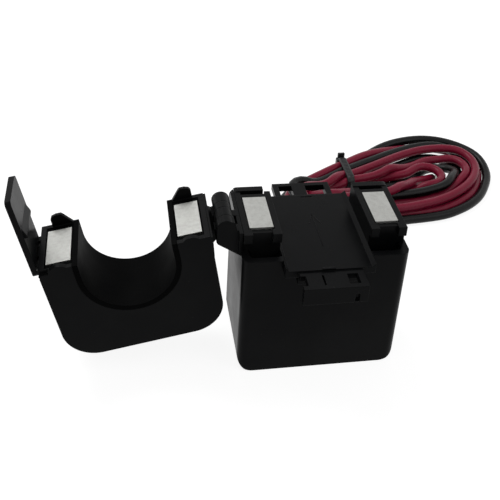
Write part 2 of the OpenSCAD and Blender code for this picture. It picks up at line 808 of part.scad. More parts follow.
// A plain round tube swept along a route
module tube(route, r, sides = 8) {
    rings = len(route);
    points = [for (i = [0:rings - 1]) each ring(route, i, r, sides)];
    walls = [for (i = [0:rings - 2], k = [0:sides - 1], half = [0, 1])
        let (a = i * sides, b = a + sides, next = (k + 1) % sides)
        half == 0 ? [a + k, a + next, b + k] : [a + next, b + next, b + k]];
    ends = [[for (k = [sides - 1:-1:0]) k],
        [for (k = [0:sides - 1]) (rings - 1) * sides + k]];
    polyhedron(points, concat(walls, ends));
}

module red_lead() {
    color([0.6, 0.1, 0.16]) tube(red_route, lead_d / 2);
}

module black_lead() {
    color([0.08, 0.08, 0.08]) tube(black_route, lead_d / 2);
}

// A block as wide as the tie's strap, between two points in Y and Z
module strap_block(y0, y1, z0, z1) {
    block(tie_x - tie_w / 2, tie_x + tie_w / 2, y0, y1, z0, z1);
}

// What the strap of the cable tie takes up, its middle left out
module strap() {
    difference() {
        strap_block(tie_y[0], tie_y[1], 0, hank_h);
        block(tie_x - tie_w, tie_x + tie_w, tie_y[0] + tie_t, tie_y[1] - tie_t, tie_t,
            hank_h - tie_t);
    }
}

// Closed solid of the coiled pair, with a slot for the strap
module lead_hank() {
    color([0.3, 0.08, 0.12]) difference() {
        linear_extrude(hank_h) {
            hull() {
                translate(hank_left) circle(hank_left_r, $fn = 32);
                translate(hank_mid) circle(hank_mid_r, $fn = 32);
            }
            hull() {
                translate(hank_mid) circle(hank_mid_r, $fn = 32);
                translate(hank_right) circle(hank_right_r, $fn = 48);
            }
        }
        strap();
        strap_block(tie_y[1] - over, tie_y[1] + tie_w, -over, hank_h + over);
    }
}

module cable_tie() {
    head_w = tie_w + 1;
    color([0.07, 0.07, 0.07]) {
        strap();
        // lock head on top, and the cut end of the strap that stands out of it
        block(tie_x - head_w / 2, tie_x + head_w / 2, tie_y[1] - head_l, tie_y[1], hank_h,
            hank_h + head_h);
        strap_block(tie_y[1] - head_l + over, tie_y[1] - head_l + over + tie_t,
            hank_h + head_h, hank_h + head_h + tie_t);
    }
}

body_case();
core_carrier();
lower_core();
bobbin_front();
bobbin_rear();
secondary_winding();
winding_tape();
winding_tails();
red_splice();
black_splice();
potting();
cover_shell();
cover_saddle();
upper_core();
core_pad();
latch();
latch_pin();
hinge_pin();
red_lead();
black_lead();
lead_hank();
cable_tie();
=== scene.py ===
"""Looks of an open split-core current transformer with its two leads tied in a hank."""

import math

import bmesh
import bpy
import numpy as np
from mathutils import Matrix, Vector
from mathutils.kdtree import KDTree


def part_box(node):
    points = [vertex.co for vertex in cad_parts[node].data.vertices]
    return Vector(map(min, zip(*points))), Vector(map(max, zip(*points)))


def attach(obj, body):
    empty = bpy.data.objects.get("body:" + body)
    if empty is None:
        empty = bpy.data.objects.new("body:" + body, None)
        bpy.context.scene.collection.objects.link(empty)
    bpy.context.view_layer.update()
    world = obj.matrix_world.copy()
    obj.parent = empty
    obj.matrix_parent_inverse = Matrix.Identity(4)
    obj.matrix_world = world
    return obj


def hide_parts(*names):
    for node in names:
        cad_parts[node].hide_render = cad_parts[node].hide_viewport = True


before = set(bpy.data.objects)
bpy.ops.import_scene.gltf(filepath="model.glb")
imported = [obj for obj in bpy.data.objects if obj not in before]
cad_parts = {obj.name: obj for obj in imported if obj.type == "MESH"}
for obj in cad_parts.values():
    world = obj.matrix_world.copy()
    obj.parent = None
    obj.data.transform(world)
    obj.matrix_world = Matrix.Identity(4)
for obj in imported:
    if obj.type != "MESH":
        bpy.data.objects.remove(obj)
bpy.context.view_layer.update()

bl_info = {
    "name": "Split-core current transformer",
    "version": (1, 0, 0),
    "blender": (4, 5, 0),
    "location": "View3D > Sidebar > Transformer",
    "description": "Materials, leads, cable tie and stage of an open current transformer",
    "category": "Object",
}

MM = 0.001
HIDDEN_NODES = {
    "bobbin_front": "bobbin_plastic",
    "bobbin_rear": "bobbin_plastic",
    "secondary_winding": "copper_wire",
    "winding_tails": "copper_wire",
    "winding_tape": "tape",
    "red_splice": "red_sleeve",
    "black_splice": "black_sleeve",
    "core_pad": "foam",
}
HIDDEN_COLOURS = {
    "bobbin_plastic": (0.75, 0.72, 0.64),
    "copper_wire": (0.55, 0.22, 0.07),
    "tape": (0.8, 0.58, 0.1),
    "red_sleeve": (0.35, 0.02, 0.04),
    "black_sleeve": (0.02, 0.02, 0.02),
    "foam": (0.09, 0.09, 0.09),
}
MOULDED_NODES = ("body_case", "core_carrier", "cover_shell", "latch")

# Every material made here, by name, since the CAD brings plain ones with the same names
FINISHES = {}

# Each lead's way out of the case and down to the hank, as in the part's source
RED_ROUTE = (
    (-2.6, 14.4, 25), (-2.6, 22, 24.3), (-2.3, 28, 21.5), (-1.4, 33, 16.6), (0.4, 37.5, 11),
    (3.2, 41.6, 6.2), (7.6, 45.2, 3), (13, 47.4, 1.8), (19, 48.4, 1.8),
)
BLACK_ROUTE = (
    (2.6, 14.4, 25), (2.7, 21.5, 24), (3.3, 26.8, 20.6), (4.8, 31.2, 15.4), (7.4, 35.2, 9.8),
    (11, 38.9, 5.2), (15.6, 42.2, 2.5), (21, 45, 1.8), (27, 46.8, 1.8),
)

# Turns of each lead in the hank, in millimetres: along the front, round the wide right
# bend, back through the tie at TIE_X and round the left bend
TIE_X = 30.5
RED_TURNS = (
    # first turn: beside the outer black one
    (
        (27, 50.4, 1.7), (36, 52.2, 1.7), (46, 53.6, 1.7), (56, 54, 1.7), (64, 56, 1.7),
        (72, 60.6, 1.7), (79.5, 67.6, 1.7), (84.6, 75.2, 1.7), (86.4, 82.4, 1.7), (84.6, 90, 1.7),
        (79, 96.4, 1.7), (71, 99, 1.7), (62.5, 97.6, 2.2), (54, 94.4, 4.2), (46, 90.8, 5.2),
        (39, 86.8, 5.8), (34.5, 83.4, 6.2), (TIE_X, 80.9, 6.3), (23, 77, 5.4), (15, 72, 5.2),
        (8, 67.6, 5), (5, 62, 5), (7.5, 56.4, 5),
    ),
    # second turn
    (
        (16, 54.6, 3.8), (28, 57.2, 1.8), (37, 59.2, 1.7), (46, 60.6, 1.7), (56, 61, 1.7),
        (64, 62.6, 1.7), (71.5, 66.8, 1.9), (77.4, 72.6, 3), (80.6, 79, 4.2), (78.6, 83.6, 3.8),
        (73, 86, 3), (65.5, 84.6, 3), (57.6, 79.6, 3.8), (49.6, 75, 4.6), (42, 72, 5.4),
        (36, 70.6, 6.2), (TIE_X, 70.1, 6.3), (24, 67.6, 5.4), (17, 65.4, 5), (12.4, 61.6, 5.4),
        (14, 56.6, 6.6),
    ),
    # third turn: the small one
    (
        (22, 57.6, 8), (31, 62, 5), (39, 66, 2.4), (47, 67.6, 1.7), (56, 68, 1.7),
        (63, 68, 2.4), (67.6, 69.6, 4.4), (69.4, 73, 5), (66.4, 75.6, 5), (59, 75.6, 5),
        (51, 74, 4.4), (44, 74, 3), (37, 74, 2.8), (TIE_X, 73.6, 2.9), (22, 69, 1.8),
        (15.4, 64.6, 2), (14.4, 59, 4), (18, 54.8, 7),
    ),
    # top turn
    (
        (26, 52.8, 7), (35, 52, 5.6), (45, 52.6, 4.8), (52.5, 53.8, 4.6), (60, 56.2, 4.6),
        (68, 60, 4.6), (77, 66.8, 4.8), (82.6, 74.6, 5), (84.2, 82.2, 5.2), (81.6, 88.6, 5.4),
        (75, 91.8, 5.6), (65, 91.2, 5.6), (54, 86.8, 5.6), (42.4, 79.8, 5.8), (36, 76.4, 6.2),
        (TIE_X, 73.6, 6.3), (22, 66.6, 5.4), (14, 63.4, 5.6), (9.4, 58.4, 7), (12, 52.8, 8.6),
        (19, 51.4, 9.2),
    ),
    # the end, back across the middle
    (
        (26, 55.4, 9), (35, 56.8, 8.4), (43, 58.6, 7.6), (47.4, 61.4, 6.8), (51.6, 65.8, 5.2),
        (56, 70.6, 2.8), (60.6, 74.4, 1.7), (65.4, 76.2, 1.7),
    ),
)
BLACK_TURNS = (
    # outer turn
    (
        (36, 48.8, 1.7), (46, 50.4, 1.7), (56, 50.8, 1.7), (65, 52.9, 1.7), (73.5, 57.8, 1.7),
        (81.5, 65.4, 1.7), (87, 74, 1.8), (89.5, 81.5, 2.6), (87.5, 88.5, 4.6), (81.5, 95, 5.2),
        (73, 100, 5.2), (64, 100.4, 5.2), (54.5, 97.6, 5), (45, 92.6, 4.4), (37, 86, 3.2),
        (TIE_X, 80.9, 2.9), (23, 78.4, 2.2), (16, 75, 1.8), (8.5, 71, 1.8), (4, 65, 1.8),
        (4, 58.5, 1.8), (8.5, 53.8, 1.8),
    ),
    # second turn, under the top red one
    (
        (16, 51.8, 1.8), (27, 54, 1.8), (36, 55.9, 1.7), (46, 57.2, 1.7), (56, 57.6, 1.7),
        (64, 59.6, 1.7), (71.5, 64, 1.7), (78, 70.8, 1.7), (82.4, 78, 1.7), (83, 85.5, 2.4),
        (80.5, 91.6, 4.2), (75, 95.4, 5.2), (66, 94.8, 5.2), (55, 91, 5.2), (44, 85.2, 5.4),
        (36, 80.6, 6), (TIE_X, 77.3, 6.3), (23, 73.6, 5.2), (15, 69.6, 5), (8.5, 65.6, 5),
        (7, 60, 5), (12, 55.6, 4.8),
    ),
    # third turn, inside
    (
        (20, 57.4, 3.4), (28, 60, 1.8), (36, 62.4, 1.7), (46, 64, 1.7), (56, 64.4, 1.7),
        (64, 65.8, 1.7), (71, 69.8, 1.7), (75.8, 75.6, 1.7), (78.2, 81, 1.7), (76, 87.6, 1.7),
        (69, 91.6, 1.8), (61, 89, 1.9), (52, 84, 2.2), (42, 79.2, 2.6), (36, 77.5, 2.9),
        (TIE_X, 77, 2.9), (22, 72.4, 2.2), (15, 69.6, 1.8), (8.6, 65, 1.8), (8, 59.4, 2.2),
        (12.6, 55.6, 4),
    ),
    # last turn, innermost, on the two below
    (
        (19, 56.6, 5.2), (28, 59, 5), (38, 60.6, 4.8), (47, 61.6, 4.6), (56, 62.2, 4.6),
        (63, 64.8, 4.4), (68.6, 69, 3.8), (72.8, 74.4, 3), (74.6, 80.4, 2), (70.6, 84, 1.7),
        (65.6, 81.6, 1.7), (60, 78.4, 1.7), (54, 75.8, 1.7), (47, 72.8, 1.8), (41, 71.2, 2.2),
        (36, 70.4, 2.8), (TIE_X, 70.1, 2.9), (24, 68, 2.2), (18, 64.4, 1.8),
    ),
)

# How the leads are laid, in millimetres or as a share of the diameter
STEP_SHARE = 0.515      # from one point of a lead to the next
FINAL_STEP_SHARE = 1.3  # from one point to the next once settled, as a share of that step
FREE_FROM = 7           # points of a route up to the one where the lead comes free
CURVE_STEPS = 24        # steps of the smooth line from one laid point to the next
CLEARANCE = 0.06        # left between two leads
REACH = 0.3             # how much farther off a pair is watched
TABLE_GAP = 0.02        # left between a lead and the table

# How the leads settle, where a pair of shares is for the early and the late rounds
ROUNDS = 240
LATE_SHARE = 0.7
PULL = (0.014, 0.004)   # back to the line as laid
PULL_AXES = (1, 1, 0.5)
EASE = (0.5, 0.2)       # towards the middle of both neighbours
PASSES = 3
APART, STIFFEN, LINK = 0.5, 0.4, 0.55
SPANS = (4, 6)          # reaches, in points, that hold the tightest bend

TUBE_SIDES = 16
JACKET_REPEAT = 60      # V of the jacket's UV map for each metre

# The bare end of a lead, in millimetres but for the count and the turns
STRANDS, STRAND_TURNS = 7, 0.55
BUNDLE_RADIUS, STRAND_RADIUS = 0.62, 0.32
TIP_TUCK = 0.4          # how far the strands start inside the insulation

# The cable tie, in millimetres
TOOTH_WIDTH, TOOTH_LENGTH = 0.72, 0.5   # as shares of the strap's width and the pitch
TOOTH_HEIGHT = 0.25
TOOTH_ROOM = 0.3        # from the strap to the outside of the tie's box
STRAP_CORNER = 2.2
HEAD_DROP = 1.7         # from the top of the strap down to the lock head
HEAD_Y = (-1.4, 0.9)    # from the back of the tie's box, the lock head's two faces
END_Y = (-0.4, 0.6)     # and those of the cut end
END_ROOT = 0.3          # how far the cut end starts inside the head
END_RISE = 0.5          # how far it stands over the strap
HEAD_EDGE, END_EDGE = 0.4, 0.2

# The arrow on the window floor, from the carrier's top, in millimetres
WINDOW_DEPTH = 7.0
ARROW_SUNK, ARROW_RISE = 0.05, 0.04
ARROW_SHAFT = ((-0.15, -7.3), (0.15, -7.3), (0.15, 7.2), (-0.15, 7.2))
ARROW_BARB = ((0.15, 7.3), (-0.15, 7.3), (1.5, 3.0), (1.8, 3.0))

FLOOR_GREY = 0.34
FLOOR_GLOW = 0.88
SOFTBOX_AIM = (0.0, 0.02, 0.03)
SOFTBOXES = (
    ("key", (-0.25, 0.35, 0.65), 0.35, 2.0),
    ("fill", (0.45, -0.25, 0.5), 0.4, 0.5),
)

SURFACE_OUTPUTS = (("Colour", "NodeSocketColor"), ("Roughness", "NodeSocketFloat"),
                   ("Height", "NodeSocketFloat"))
GEOMETRY_OUTPUTS = (("Geometry", "NodeSocketGeometry"),)


# ---- sizes and colours that a user would change ----


class LeadSettings(bpy.types.PropertyGroup):
    diameter: bpy.props.FloatProperty(
        name="Diameter", description="Outer diameter of a lead", default=3.3 * MM, unit="LENGTH")
    tightest: bpy.props.FloatProperty(
        name="Tightest bend", description="Smallest bend radius in the hank",
        default=7.2 * MM, unit="LENGTH")
    tip: bpy.props.FloatProperty(
        name="Bare tip", description="Length of the bare, tinned end of a lead",
        default=5.5 * MM, unit="LENGTH")
    red: bpy.props.FloatVectorProperty(
        name="Red", description="Colour of the red insulation", subtype="COLOR",
        default=(0.215, 0.006, 0.030))
    black: bpy.props.FloatVectorProperty(
        name="Black", description="Colour of the black insulation", subtype="COLOR",
        default=(0.0014, 0.0014, 0.0016))


class MouldingSettings(bpy.types.PropertyGroup):
    colour: bpy.props.FloatVectorProperty(
        name="Plastic", description="Colour of the moulded parts", subtype="COLOR",
        default=(0.0031, 0.0033, 0.0037))
    edge: bpy.props.FloatProperty(
        name="Edge radius", description="Radius of the moulded edges", default=0.25 * MM,
        unit="LENGTH")
    grain: bpy.props.FloatProperty(
        name="Grain", description="Size of the moulded surface's faint waves",
        default=1.1 * MM, unit="LENGTH")


class CoreSettings(bpy.types.PropertyGroup):
    colour: bpy.props.FloatVectorProperty(
        name="Ground steel", description="Colour of the ground pole faces", subtype="COLOR",
        default=(0.385, 0.387, 0.37))
    strip: bpy.props.FloatProperty(
        name="Strip", description="Thickness of the wound steel strip", default=0.28 * MM,
        unit="LENGTH")


class TieSettings(bpy.types.PropertyGroup):
    width: bpy.props.FloatProperty(
        name="Width", description="Width of the strap", default=2.6 * MM, unit="LENGTH")
    head: bpy.props.FloatProperty(
        name="Head length", description="Length of the lock head", default=4.0 * MM,
        unit="LENGTH")
    over: bpy.props.FloatProperty(
        name="Hank height", description="Height at which the strap passes over the hank",
        default=9.2 * MM, unit="LENGTH")
    tooth: bpy.props.FloatProperty(
        name="Tooth pitch", description="Distance between the teeth of the strap",
        default=1.0 * MM, unit="LENGTH")
    strap: bpy.props.FloatProperty(
        name="Strap thickness", description="Thickness of the strap without its teeth",
        default=0.9 * MM, unit="LENGTH")


class StageSettings(bpy.types.PropertyGroup):
    azimuth: bpy.props.FloatProperty(
        name="Azimuth", description="The camera's turn round the object",
        default=math.radians(-12.59), subtype="ANGLE")
    elevation: bpy.props.FloatProperty(
        name="Elevation", description="The camera's height above the horizon",
        default=math.radians(30.51), subtype="ANGLE")
    roll: bpy.props.FloatProperty(
        name="Roll", description="The camera's turn about its own axis",
        default=math.radians(4.55), subtype="ANGLE")
    distance: bpy.props.FloatProperty(
        name="Distance", description="From the camera to the point it is aimed at",
        default=216.6 * MM, unit="LENGTH")
    aim: bpy.props.FloatVectorProperty(
        name="Aim", description="The point that the camera is aimed at",
        default=(-12.1 * MM, 0.0, 63.6 * MM), subtype="XYZ", unit="LENGTH")
    lens: bpy.props.FloatProperty(
        name="Lens", description="Focal length in millimetres", default=60.98)
    shift: bpy.props.FloatVectorProperty(
        name="Shift", description="Lens shift that frames the object", size=2,
        default=(-0.061, -0.204))
    sky: bpy.props.FloatProperty(
        name="Sky", description="Strength of the even light from all round", default=0.34)


# ---- shared node groups ----


def new_group(name, inputs, outputs=SURFACE_OUTPUTS, kind="ShaderNodeTree"):
    """A node group with its sockets, and its input and output nodes."""
    tree = bpy.data.node_groups.new(name, kind)
    for label, socket_type, default in inputs:
        socket = tree.interface.new_socket(label, in_out="INPUT", socket_type=socket_type)
        if default is not None:
            socket.default_value = default
    for label, socket_type in outputs:
        tree.interface.new_socket(label, in_out="OUTPUT", socket_type=socket_type)
    return tree, tree.nodes.new("NodeGroupInput"), tree.nodes.new("NodeGroupOutput")


def feed(tree, slot, term):
    """Links a socket into a slot, or gives the slot a number, a vector or a colour."""
    if isinstance(term, bpy.types.NodeSocket):
        tree.links.new(term, slot)
    elif slot.type == "RGBA":
        slot.default_value = (*term[:3], 1.0)
    else:
        slot.default_value = term


def add_node(tree, kind, **terms):
    """A node of one kind, its named inputs fed with sockets or values."""
    node = tree.nodes.new(kind)
    for label, term in terms.items():
        feed(tree, node.inputs[label.replace("_", " ")], term)
    return node


def add_noise(tree, vector, scale, detail=4.0, rough=0.55):
    """A noise texture on a vector, its scale in waves per metre."""
    return add_node(tree, "ShaderNodeTexNoise", Vector=vector, Scale=scale, Detail=detail,
                    Roughness=rough).outputs["Fac"]


def add_range(tree, value, low, high, to_low, to_high):
    """Value from low to high, spread over to_low to to_high and held there."""
    return add_node(tree, "ShaderNodeMapRange", Value=value, From_Min=low, From_Max=high,
                    To_Min=to_low, To_Max=to_high).outputs["Result"]


def add_math(tree, operation, first, second):
    """One math node whose terms are sockets or numbers."""
    node = tree.nodes.new("ShaderNodeMath")
    node.operation = operation
    feed(tree, node.inputs[0], first)
    feed(tree, node.inputs[1], second)
    return node.outputs["Value"]


def add_mix(tree, factor, first, second):
    """A colour mix whose terms are sockets or colours."""
    node = tree.nodes.new("ShaderNodeMix")
    node.data_type = "RGBA"
    for slot, term in ((0, factor), (6, first), (7, second)):
        feed(tree, node.inputs[slot], term)
    return node.outputs[2]


def build_handling_group():
    """Dust specks, finger smears and faint waves on a smooth surface."""
    tree, start, end = new_group(
        "handling marks",
        (("Vector", "NodeSocketVector", (0, 0, 0)), ("Colour", "NodeSocketColor", (0, 0, 0, 1)),
         ("Dust", "NodeSocketColor", (0.3, 0.3, 0.29, 1)),
         ("Dust amount", "NodeSocketFloat", 0.1), ("Roughness", "NodeSocketFloat", 0.3),
         ("Smear", "NodeSocketFloat", 0.1), ("Wave size", "NodeSocketFloat", 900.0)))
    vector = start.outputs["Vector"]
    specks = add_node(tree, "ShaderNodeTexVoronoi", Vector=vector, Scale=420.0, Randomness=1.0)
    speck = add_range(tree, specks.outputs["Distance"], 0.05, 0.12, 1.0, 0.0)
    patches = add_range(tree, add_noise(tree, vector, 130.0, 3.0), 0.55, 0.68, 0.0, 1.0)
    film = add_range(tree, add_noise(tree, vector, 42.0, 5.0), 0.42, 0.75, 0.0, 0.35)
    dust = add_math(tree, "ADD", add_math(tree, "MULTIPLY", speck, patches), film)
    dust = add_math(tree, "MULTIPLY", dust, start.outputs["Dust amount"])
    tree.links.new(add_mix(tree, dust, start.outputs["Colour"], start.outputs["Dust"]),
                   end.inputs["Colour"])
    smear = add_range(tree, add_noise(tree, vector, 75.0, 6.0, 0.65), 0.35, 0.7, -0.5, 1.0)
    smear = add_math(tree, "MULTIPLY", smear, start.outputs["Smear"])
    rough = add_math(tree, "ADD", start.outputs["Roughness"], smear)
    tree.links.new(add_math(tree, "ADD", rough, add_math(tree, "MULTIPLY", dust, 0.5)),
                   end.inputs["Roughness"])
    tree.links.new(add_noise(tree, vector, start.outputs["Wave size"], 2.0, 0.5),
                   end.inputs["Height"])


def build_grinding_group():
    """Ground ends of wound steel strip: strip lines, grinding marks and stains."""
    tree, start, end = new_group(
        "ground strip",
        (("Vector", "NodeSocketVector", (0, 0, 0)),
         ("Colour", "NodeSocketColor", (0.5, 0.5, 0.5, 1)),
         ("Stain", "NodeSocketColor", (0.2, 0.19, 0.17, 1)), ("Strip", "NodeSocketFloat", 3500.0)))
    vector = start.outputs["Vector"]
    split = add_node(tree, "ShaderNodeSeparateXYZ", Vector=vector)
    across = add_math(tree, "MULTIPLY", split.outputs["X"], start.outputs["Strip"])
    line = add_math(tree, "PINGPONG", across, 0.5)
    gap = add_range(tree, line, 0.0, 0.09, 1.0, 0.0)
    grind = add_node(tree, "ShaderNodeMapping", Vector=vector, Scale=(1.0, 0.12, 1.0),
                     Rotation=(0.0, 0.0, math.radians(24)))
    marks = add_noise(tree, grind.outputs["Vector"], 5200.0, 3.0, 0.7)
    mottle = add_noise(tree, vector, 900.0, 5.0, 0.65)
    blotch = add_noise(tree, vector, 260.0, 4.0)
    stain = add_math(tree, "ADD", add_math(tree, "MULTIPLY", gap, 0.16),
                     add_range(tree, mottle, 0.42, 0.72, 0.0, 0.32))
    stain = add_math(tree, "ADD", stain, add_range(tree, blotch, 0.5, 0.7, 0.0, 0.16))
    tree.links.new(add_mix(tree, stain, start.outputs["Colour"], start.outputs["Stain"]),
                   end.inputs["Colour"])
    tree.links.new(add_range(tree, marks, 0.3, 0.7, 0.34, 0.52), end.inputs["Roughness"])
    height = add_math(tree, "SUBTRACT", marks, add_math(tree, "MULTIPLY", gap, 0.6))
    tree.links.new(add_math(tree, "ADD", height, add_math(tree, "MULTIPLY", mottle, 0.8)),
                   end.inputs["Height"])


def build_jacket_group():
    """Drawn insulation: flow lines along the lead, soft dents and a dusty bloom."""
    tree, start, end = new_group(
        "drawn jacket",
        (("Along", "NodeSocketVector", (0, 0, 0)), ("Vector", "NodeSocketVector", (0, 0, 0)),
         ("Colour", "NodeSocketColor", (0, 0, 0, 1)), ("Bloom", "NodeSocketColor", (1, 1, 1, 1)),
         ("Bloom amount", "NodeSocketFloat", 0.1), ("Roughness", "NodeSocketFloat", 0.35)))
    stretch = add_node(tree, "ShaderNodeMapping", Vector=start.outputs["Along"],
                       Scale=(14.0, 5.0, 1.0))
    flow = add_noise(tree, stretch.outputs["Vector"], 1.0, 5.0, 0.6)
    dents = add_noise(tree, start.outputs["Vector"], 330.0, 3.0)
    fine = add_noise(tree, start.outputs["Vector"], 1900.0, 2.0)
    patches = add_noise(tree, start.outputs["Vector"], 120.0, 5.0)
    bloom = add_range(tree, patches, 0.45, 0.72, 0.0, 1.0)
    bloom = add_math(tree, "MULTIPLY", bloom, start.outputs["Bloom amount"])
    tree.links.new(add_mix(tree, bloom, start.outputs["Colour"], start.outputs["Bloom"]),
                   end.inputs["Colour"])
    rough = add_math(tree, "ADD", start.outputs["Roughness"],
                     add_range(tree, fine, 0.35, 0.65, -0.06, 0.08))
    tree.links.new(rough, end.inputs["Roughness"])
    height = add_math(tree, "ADD", add_math(tree, "MULTIPLY", flow, 0.5), dents)
    tree.links.new(height, end.inputs["Height"])


# ---- materials ----


def new_material(name, preview):
    """The tree, the shader and the coordinates of a new material, kept in FINISHES."""
    material = bpy.data.materials.new(name)
    FINISHES[name] = material
    material.use_nodes = True
    material.diffuse_color = (*preview[:3], 1.0)
    tree = material.node_tree
    return tree, tree.nodes["Principled BSDF"], tree.nodes.new("ShaderNodeTexCoord")


def place_group(tree, name, **values):
    """A shader group in a material, with its own values or links."""
    node = tree.nodes.new("ShaderNodeGroup")
    node.node_tree = bpy.data.node_groups[name]
    for label, value in values.items():
        feed(tree, node.inputs[label.replace("_", " ")], value)
    return node


def wire_surface(tree, shader, group, bump, edge=0.0):
    """Links a group's colour, roughness and height into the shader."""
    tree.links.new(group.outputs["Colour"], shader.inputs["Base Color"])
    tree.links.new(group.outputs["Roughness"], shader.inputs["Roughness"])
    node = add_node(tree, "ShaderNodeBump", Strength=1.0, Distance=bump,
                    Height=group.outputs["Height"])
    if edge:
        soft = add_node(tree, "ShaderNodeBevel", Radius=edge)
        soft.samples = 6
        tree.links.new(soft.outputs["Normal"], node.inputs["Normal"])
    tree.links.new(node.outputs["Normal"], shader.inputs["Normal"])


def moulded_plastic(name, colour, roughness, dust, wave, edge=0.0, level=0.045):
    """Semi-gloss moulded plastic with faint waves, smears and dust."""
    tree, shader, coordinates = new_material(name, colour)
    shader.inputs["Specular IOR Level"].default_value = level
    group = place_group(tree, "handling marks", Vector=coordinates.outputs["Object"],
                        Colour=colour, Dust_amount=dust, Roughness=roughness, Smear=0.07,
                        Wave_size=wave)
    wire_surface(tree, shader, group, 0.012 * MM, edge)


def ground_steel(settings):
    """Pole faces and sides of the strip-wound cores."""
    tree, shader, coordinates = new_material("core_steel", settings.colour)
    shader.inputs["Metallic"].default_value = 1.0
    group = place_group(tree, "ground strip", Vector=coordinates.outputs["Object"],
                        Colour=settings.colour, Stain=(0.17, 0.165, 0.15),
                        Strip=1.0 / settings.strip)
    wire_surface(tree, shader, group, 0.02 * MM)


def lead_jacket(name, colour, bloom, amount):
    """Satin insulation of a lead, drawn along its own length."""
    tree, shader, coordinates = new_material(name, colour)
    shader.inputs["Specular IOR Level"].default_value = 0.16
    group = place_group(tree, "drawn jacket", Along=coordinates.outputs["UV"],
                        Vector=coordinates.outputs["Object"], Colour=colour, Bloom=bloom,
                        Bloom_amount=amount, Roughness=0.3)
    wire_surface(tree, shader, group, 0.06 * MM)


def cast_resin():
    """Glossy cast resin with a slow, wavy skin."""
    tree, shader, coordinates = new_material("resin", (0.01, 0.01, 0.01))
    shader.inputs["Specular IOR Level"].default_value = 0.5
    shader.inputs["Coat Weight"].default_value = 0.6
    shader.inputs["Coat Roughness"].default_value = 0.05
    group = place_group(tree, "handling marks", Vector=coordinates.outputs["Object"],
                        Colour=(0.006, 0.006, 0.007), Dust_amount=0.05, Roughness=0.12,
                        Smear=0.05, Wave_size=420.0)
    wire_surface(tree, shader, group, 0.25 * MM)


def tinned_wire():
    """Bare tinned strands at the end of a lead."""
    tree, shader, coordinates = new_material("tinned_wire", (0.7, 0.68, 0.64))
    shader.inputs["Metallic"].default_value = 1.0
    group = place_group(tree, "handling marks", Vector=coordinates.outputs["Object"],
                        Colour=(0.66, 0.64, 0.60), Dust=(0.30, 0.27, 0.22), Dust_amount=0.5,
                        Roughness=0.3, Smear=0.12, Wave_size=1800.0)
    wire_surface(tree, shader, group, 0.02 * MM)


def assign(node, name):
    """Gives a CAD node one of the materials made here."""
    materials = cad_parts[node].data.materials
    materials.clear()
    materials.append(FINISHES[name])


# ---- leads ----


def smooth_line(points, step):
    """An even line through the points, one point every step."""
    points = np.array(points, float)
    last = len(points) - 1
    dense = []
    for i in range(last):
        before, here, after, beyond = (points[min(max(i + k, 0), last)] for k in (-1, 0, 1, 2))
        for t in np.linspace(0, 1, CURVE_STEPS, endpoint=False):
            dense.append(0.5 * (2 * here + (after - before) * t
                                + (2 * before - 5 * here + 4 * after - beyond) * t ** 2
                                + (3 * here - before - 3 * after + beyond) * t ** 3))
    dense = np.array(dense + [points[-1]])
    run = np.r_[0, np.cumsum(np.linalg.norm(np.diff(dense, axis=0), axis=1))]
    at = np.linspace(0, run[-1], int(round(run[-1] / step)) + 1)
    return np.stack([np.interp(at, run, dense[:, k]) for k in range(3)], 1)


def close_pairs(line, gap, first):
    """Points nearer than gap to each other that aren't neighbours on one lead.

    The first lead's points come before those of the second."""
    tree = KDTree(len(line))
    for i, point in enumerate(line):
        tree.insert(point, i)
    tree.balance()
    pairs = []
    for i, point in enumerate(line):
        for _, j, _ in tree.find_range(point, gap):
            same = (i < first) == (j < first)
            if j > i and not (same and j - i <= max(SPANS)):
                pairs.append((i, j))
    return np.array(pairs, int).reshape(-1, 2)


def push(line, pairs, move, free):
    """Moves both ends of each pair apart or together by move, as far as each is free."""
    step = np.zeros_like(line)
    span = line[pairs[:, 1]] - line[pairs[:, 0]]
    span /= np.linalg.norm(span, axis=1)[:, None] + 1e-9
    share = move / (free[pairs[:, 0]] + free[pairs[:, 1]] + 1e-9)
    np.add.at(step, pairs[:, 0], -span * (share * free[pairs[:, 0]])[:, None])
    np.add.at(step, pairs[:, 1], span * (share * free[pairs[:, 1]])[:, None])
    return step


def settle(lines, fixed, step, diameter, tightest):
    """Lets the leads find their places: apart, on the table, as long as they were laid."""
    line = np.concatenate(lines)
    count, first = len(line), len(lines[0])
    free = np.ones(count)
    for start, stop in fixed:
        free[start:stop] = 0.0
    laid = line.copy()
    links = np.array([(i, i + 1) for i in range(count - 1) if i != first - 1])
    length = np.full(len(links), step)
    spans = []
    for reach in SPANS:
        pairs = np.array([(i, i + reach) for i in range(count - reach)
                          if not i < first <= i + reach])
        spans.append((pairs, 2 * tightest * math.sin(reach * step / (2 * tightest))))
    gap = diameter + CLEARANCE
    for turn in range(ROUNDS):
        late = turn > LATE_SHARE * ROUNDS
        line += (laid - line) * PULL[late] * free[:, None] * np.array(PULL_AXES)
        middle = line.copy()
        middle[1:-1] = 0.5 * line[1:-1] + 0.25 * (line[:-2] + line[2:])
        middle[first - 1], middle[first] = line[first - 1], line[first]
        line += (middle - line) * EASE[late] * free[:, None]
        pairs = close_pairs(line, gap + REACH, first)
        for _ in range(PASSES):
            if len(pairs):
                apart = np.linalg.norm(line[pairs[:, 1]] - line[pairs[:, 0]], axis=1)
                line += APART * push(line, pairs, np.maximum(gap - apart, 0), free)
            for span, least in spans:
                apart = np.linalg.norm(line[span[:, 1]] - line[span[:, 0]], axis=1)
                line += STIFFEN * push(line, span, np.maximum(least - apart, 0), free)
            apart = np.linalg.norm(line[links[:, 1]] - line[links[:, 0]], axis=1)
            line += LINK * push(line, links, length - apart, free)
            table = np.maximum(line[:, 2], diameter / 2 + TABLE_GAP)
            line[:, 2] = np.where(free > 0, table, line[:, 2])
    return line[:first], line[first:]


